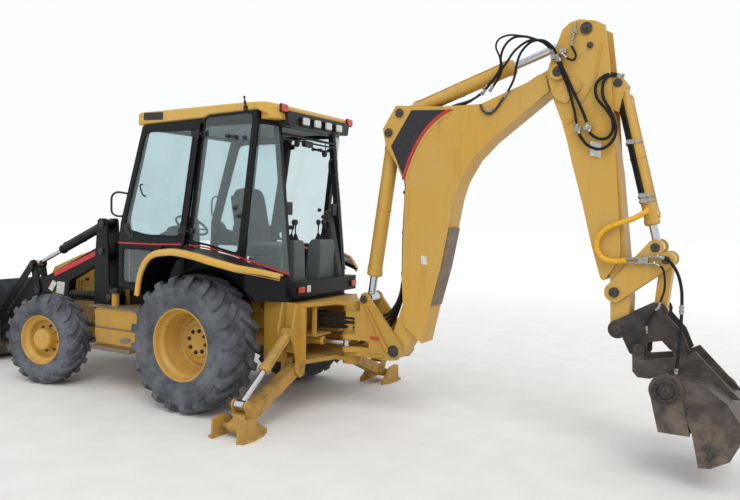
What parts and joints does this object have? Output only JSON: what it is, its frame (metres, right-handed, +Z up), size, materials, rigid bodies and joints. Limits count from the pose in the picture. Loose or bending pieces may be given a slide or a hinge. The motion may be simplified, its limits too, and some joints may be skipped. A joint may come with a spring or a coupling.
{
  "type": "backhoe loader",
  "caption": "Wheeled tractor with an enclosed cab, a wide loading bucket in front and a swinging digging arm with a jawed bucket and stabilizer legs behind.",
  "frame": {"origin": "on the ground under the middle of the machine", "axes": "+X to the loader bucket at the front, +Y to the left, +Z up"},
  "size_m": [8.925, 2.86, 3.5],
  "materials": {
    "yellow_paint": "worn gloss paint",
    "black_paint": "satin paint",
    "tyre": "dusty rubber",
    "chrome": "polished",
    "bare_steel": "worn and rusty",
    "glass": "clear, slightly green",
    "seat_fabric": "woven",
    "cab_plastic": "grained",
    "lamp": "translucent red and clear",
    "engine_iron": "cast"
  },
  "bodies": {
    "chassis": {"main_frame": "yellow_paint", "rear_frame": "yellow_paint", "engine": "engine_iron", "hood": "yellow_paint", "loader_towers": "black_paint", "axles": "yellow_paint", "cab_base": "black_paint", "cab_frame": "black_paint", "roof": "yellow_paint", "cab_glass": "glass", "seat": "seat_fabric", "controls": "cab_plastic", "lamps": "lamp"},
    "door_left": {"door_left": "black_paint", "door_left_glass": "glass"},
    "knuckle_left": {"knuckle_left": "yellow_paint"},
    "wheel_front_left": {"tyre_front_left": "tyre", "rim_front_left": "yellow_paint"},
    "wheel_rear_left": {"tyre_rear_left": "tyre", "rim_rear_left": "yellow_paint"},
    "stabilizer_left": {"stabilizer_left": "yellow_paint"},
    "stabilizer_barrel_left": {"stabilizer_barrel_left": "yellow_paint"},
    "stabilizer_rod_left": {"stabilizer_rod_left": "chrome"},
    "swing_barrel_left": {"swing_barrel_left": "yellow_paint"},
    "swing_rod_left": {"swing_rod_left": "chrome"},
    "door_right": {"door_right": "black_paint", "door_right_glass": "glass"},
    "knuckle_right": {"knuckle_right": "yellow_paint"},
    "wheel_front_right": {"tyre_front_right": "tyre", "rim_front_right": "yellow_paint"},
    "wheel_rear_right": {"tyre_rear_right": "tyre", "rim_rear_right": "yellow_paint"},
    "stabilizer_right": {"stabilizer_right": "yellow_paint"},
    "stabilizer_barrel_right": {"stabilizer_barrel_right": "yellow_paint"},
    "stabilizer_rod_right": {"stabilizer_rod_right": "chrome"},
    "swing_barrel_right": {"swing_barrel_right": "yellow_paint"},
    "swing_rod_right": {"swing_rod_right": "chrome"},
    "loader_arms": {"loader_arms": "black_paint"},
    "lift_barrels": {"lift_barrels": "black_paint"},
    "lift_rods": {"lift_rods": "chrome"},
    "tilt_barrels": {"tilt_barrels": "black_paint"},
    "tilt_rods": {"tilt_rods": "chrome"},
    "tilt_levers": {"tilt_levers": "black_paint"},
    "bucket_links": {"bucket_links": "black_paint"},
    "loader_bucket": {"loader_bucket": "black_paint"},
    "swing_frame": {"swing_frame": "yellow_paint"},
    "boom": {"boom": "yellow_paint"},
    "stick": {"stick": "yellow_paint"},
    "stick_extension": {"stick_extension": "yellow_paint"},
    "boom_barrel": {"boom_barrel": "yellow_paint"},
    "boom_rod": {"boom_rod": "chrome"},
    "stick_barrel": {"stick_barrel": "yellow_paint"},
    "stick_rod": {"stick_rod": "chrome"},
    "bucket_barrel": {"bucket_barrel": "yellow_paint"},
    "bucket_rod": {"bucket_rod": "chrome"},
    "link_arms": {"link_arms": "yellow_paint"},
    "bucket_link": {"bucket_link": "yellow_paint"},
    "bucket_jaw": {"bucket_jaw": "bare_steel"},
    "digging_bucket": {"coupler": "bare_steel", "digging_bucket": "bare_steel"}
  },
  "joints": [
    {"name": "steer_left", "type": "hinge", "parent": "chassis", "child": "knuckle_left", "pos_m": [2.315, 0.79, 0.485], "axis": [0, 0, 1], "range_deg": [-44, 26]},
    {"name": "roll_front_left", "type": "hinge", "parent": "knuckle_left", "child": "wheel_front_left", "pos_m": [2.2931, 0.92828, 0.485], "axis": [-0.1564, 0.9877, 0], "continuous": true},
    {"name": "roll_rear_left", "type": "hinge", "parent": "chassis", "child": "wheel_rear_left", "pos_m": [0.215, 0.86, 0.655], "axis": [0, 1, 0], "continuous": true},
    {"name": "steer_right", "type": "hinge", "parent": "chassis", "child": "knuckle_right", "pos_m": [2.315, -0.79, 0.485], "axis": [0, 0, 1], "range_deg": [-44.5, 26.5]},
    {"name": "roll_front_right", "type": "hinge", "parent": "knuckle_right", "child": "wheel_front_right", "pos_m": [2.3369, -0.92828, 0.485], "axis": [-0.1564, 0.9877, 0], "continuous": true},
    {"name": "roll_rear_right", "type": "hinge", "parent": "chassis", "child": "wheel_rear_right", "pos_m": [0.215, -0.86, 0.655], "axis": [0, 1, 0], "continuous": true},
    {"name": "loader_lift", "type": "hinge", "parent": "chassis", "child": "loader_arms", "pos_m": [1.719, 0, 1.459], "axis": [0, -1, 0], "range_deg": [0, 86]},
    {"name": "lift_barrel_turn", "type": "hinge", "parent": "chassis", "child": "lift_barrels", "pos_m": [1.595, 0, 0.97], "axis": [0, -1, 0], "range_deg": [-1.24, 63.16]},
    {"name": "lift_rod_slide", "type": "slide", "parent": "lift_barrels", "child": "lift_rods", "axis": [0.9991, 0, -0.0415], "range_m": [-0.01138, 0.58041]},
    {"name": "tilt_barrel_turn", "type": "hinge", "parent": "chassis", "child": "tilt_barrels", "pos_m": [1.711, 0, 1.76], "axis": [0, -1, 0], "range_deg": [-1.81, 92.38]},
    {"name": "tilt_rod_slide", "type": "slide", "parent": "tilt_barrels", "child": "tilt_rods", "axis": [0.9224, 0, -0.3861], "range_m": [-0.40535, 0.00795]},
    {"name": "loader_bucket_tilt", "type": "hinge", "parent": "loader_arms", "child": "loader_bucket", "pos_m": [3.635, 0, 0.3], "axis": [0, 1, 0], "range_deg": [-38, 100]},
    {"name": "tilt_lever_turn", "type": "hinge", "parent": "loader_arms", "child": "tilt_levers", "pos_m": [2.855, 0, 0.96], "axis": [0, -1, 0], "range_deg": [-76.22, 30.23]},
    {"name": "bucket_link_turn", "type": "hinge", "parent": "tilt_levers", "child": "bucket_links", "pos_m": [2.915, 0, 1.256], "axis": [0, -1, 0], "range_deg": [-32.78, 82.64]},
    {"name": "door_left_open", "type": "hinge", "parent": "chassis", "child": "door_left", "pos_m": [0.483, 0.74, 1.59], "axis": [-0.1687, 0, 0.9857], "range_deg": [0, 60]},
    {"name": "door_right_open", "type": "hinge", "parent": "chassis", "child": "door_right", "pos_m": [0.483, -0.74, 1.59], "axis": [0.1687, 0, -0.9857], "range_deg": [0, 60]},
    {"name": "swing", "type": "hinge", "parent": "chassis", "child": "swing_frame", "pos_m": [-1.045, 0, 0.775], "axis": [0, 0, 1], "range_deg": [-90, 90]},
    {"name": "swing_barrel_turn_left", "type": "hinge", "parent": "chassis", "child": "swing_barrel_left", "pos_m": [-0.425, 0.23, 0.69], "axis": [0, 0, 1], "range_deg": [-0.98, 0.98]},
    {"name": "swing_rod_slide_left", "type": "slide", "parent": "swing_barrel_left", "child": "swing_rod_left", "axis": [-0.9939, -0.1104, 0], "range_m": [-0.17195, 0.17195]},
    {"name": "swing_barrel_turn_right", "type": "hinge", "parent": "chassis", "child": "swing_barrel_right", "pos_m": [-0.425, -0.23, 0.69], "axis": [0, 0, 1], "range_deg": [-0.98, 0.98]},
    {"name": "swing_rod_slide_right", "type": "slide", "parent": "swing_barrel_right", "child": "swing_rod_right", "axis": [-0.9939, 0.1104, 0], "range_m": [-0.17195, 0.17195]},
    {"name": "boom_lower", "type": "hinge", "parent": "swing_frame", "child": "boom", "pos_m": [-1.565, 0, 0.66], "axis": [0, -1, 0], "range_deg": [-12, 70]},
    {"name": "boom_barrel_turn", "type": "hinge", "parent": "boom", "child": "boom_barrel", "pos_m": [-1.463, 0, 2.674], "axis": [0, -1, 0], "range_deg": [-1.09, 5.7]},
    {"name": "boom_rod_slide", "type": "slide", "parent": "boom_barrel", "child": "boom_rod", "axis": [0.1389, 0, -0.9903], "range_m": [-0.11977, 0.62905]},
    {"name": "stick_out", "type": "hinge", "parent": "boom", "child": "stick", "pos_m": [-3.013, 0, 3.1], "axis": [0, 1, 0], "range_deg": [-15, 100]},
    {"name": "stick_barrel_turn", "type": "hinge", "parent": "boom", "child": "stick_barrel", "pos_m": [-1.57, 0, 2.848], "axis": [0, -1, 0], "range_deg": [-5.67, 0.96]},
    {"name": "stick_rod_slide", "type": "slide", "parent": "stick_barrel", "child": "stick_rod", "axis": [-0.9449, 0, 0.3273], "range_m": [-0.5964, 0.10086]},
    {"name": "stick_extend", "type": "slide", "parent": "stick", "child": "stick_extension", "axis": [-0.1101, 0, -0.9939], "range_m": [0, 1.2]},
    {"name": "bucket_curl", "type": "hinge", "parent": "stick_extension", "child": "digging_bucket", "pos_m": [-3.547, 0, 1.066], "axis": [0, -1, 0], "range_deg": [-20, 120]},
    {"name": "link_arm_turn", "type": "hinge", "parent": "stick_extension", "child": "link_arms", "pos_m": [-3.513, 0, 1.354], "axis": [0, -1, 0], "range_deg": [-16.82, 90.61]},
    {"name": "bucket_link_swing", "type": "hinge", "parent": "link_arms", "child": "bucket_link", "pos_m": [-3.88, 0, 1.625], "axis": [0, -1, 0], "range_deg": [-55.95, 10.39]},
    {"name": "bucket_barrel_turn", "type": "hinge", "parent": "stick_extension", "child": "bucket_barrel", "pos_m": [-3.475, 0, 2.985], "axis": [0, -1, 0], "range_deg": [-0.3578, 0.0665]},
    {"name": "bucket_rod_slide", "type": "slide", "parent": "bucket_barrel", "child": "bucket_rod", "axis": [-0.2483, 0, -0.9687], "range_m": [-0.12336, 0.66443]},
    {"name": "jaw_open", "type": "hinge", "parent": "digging_bucket", "child": "bucket_jaw", "pos_m": [-3.957, 0, 0.706], "axis": [0, -1, 0], "range_deg": [0, 55]},
    {"name": "stabilizer_raise_left", "type": "hinge", "parent": "chassis", "child": "stabilizer_left", "pos_m": [-0.673, 0.452, 0.441], "axis": [1, 0, 0], "range_deg": [-6, 54]},
    {"name": "stabilizer_barrel_turn_left", "type": "hinge", "parent": "chassis", "child": "stabilizer_barrel_left", "pos_m": [-0.673, 0.545, 0.8], "axis": [1, 0, 0], "range_deg": [-7.05, 54.04]},
    {"name": "stabilizer_rod_slide_left", "type": "slide", "parent": "stabilizer_barrel_left", "child": "stabilizer_rod_left", "axis": [0, 0.7797, -0.6261], "range_m": [-0.34443, 0.04492]},
    {"name": "stabilizer_raise_right", "type": "hinge", "parent": "chassis", "child": "stabilizer_right", "pos_m": [-0.673, -0.452, 0.441], "axis": [-1, 0, 0], "range_deg": [-6, 54]},
    {"name": "stabilizer_barrel_turn_right", "type": "hinge", "parent": "chassis", "child": "stabilizer_barrel_right", "pos_m": [-0.673, -0.545, 0.8], "axis": [-1, 0, 0], "range_deg": [-7.05, 54.04]},
    {"name": "stabilizer_rod_slide_right", "type": "slide", "parent": "stabilizer_barrel_right", "child": "stabilizer_rod_right", "axis": [0, -0.7797, -0.6261], "range_m": [-0.34443, 0.04492]}
  ],
  "couplings": [
    {"joint": "steer_right", "follows": "steer_left", "ratio": 1},
    {"joint": "lift_barrel_turn", "follows": "loader_lift", "ratio": 0.72},
    {"joint": "lift_rod_slide", "follows": "loader_lift", "m_per_rad": 0.37911},
    {"joint": "tilt_barrel_turn", "follows": "loader_lift", "ratio": 1.0531},
    {"joint": "tilt_rod_slide", "follows": "loader_lift", "m_per_rad": -0.26476},
    {"joint": "tilt_lever_turn", "follows": "loader_bucket_tilt", "ratio": -0.74175},
    {"joint": "bucket_link_turn", "follows": "loader_bucket_tilt", "ratio": 0.80423},
    {"joint": "swing_barrel_turn_left", "follows": "swing", "ratio": 0.010468},
    {"joint": "swing_rod_slide_left", "follows": "swing", "m_per_rad": 0.10526},
    {"joint": "swing_barrel_turn_right", "follows": "swing", "ratio": 0.010468},
    {"joint": "swing_rod_slide_right", "follows": "swing", "m_per_rad": -0.10526},
    {"joint": "boom_barrel_turn", "follows": "boom_lower", "ratio": 0.079579},
    {"joint": "boom_rod_slide", "follows": "boom_lower", "m_per_rad": 0.5031},
    {"joint": "stick_barrel_turn", "follows": "stick_out", "ratio": -0.055404},
    {"joint": "stick_rod_slide", "follows": "stick_out", "m_per_rad": -0.33403},
    {"joint": "link_arm_turn", "follows": "bucket_curl", "ratio": 0.73791},
    {"joint": "bucket_link_swing", "follows": "bucket_curl", "ratio": -0.45561},
    {"joint": "bucket_barrel_turn", "follows": "bucket_curl", "ratio": -0.002913},
    {"joint": "bucket_rod_slide", "follows": "bucket_curl", "m_per_rad": 0.31001},
    {"joint": "stabilizer_barrel_turn_left", "follows": "stabilizer_raise_left", "ratio": 0.97895},
    {"joint": "stabilizer_rod_slide_left", "follows": "stabilizer_raise_left", "m_per_rad": -0.35751},
    {"joint": "stabilizer_barrel_turn_right", "follows": "stabilizer_raise_right", "ratio": 0.97895},
    {"joint": "stabilizer_rod_slide_right", "follows": "stabilizer_raise_right", "m_per_rad": -0.35751}
  ]
}
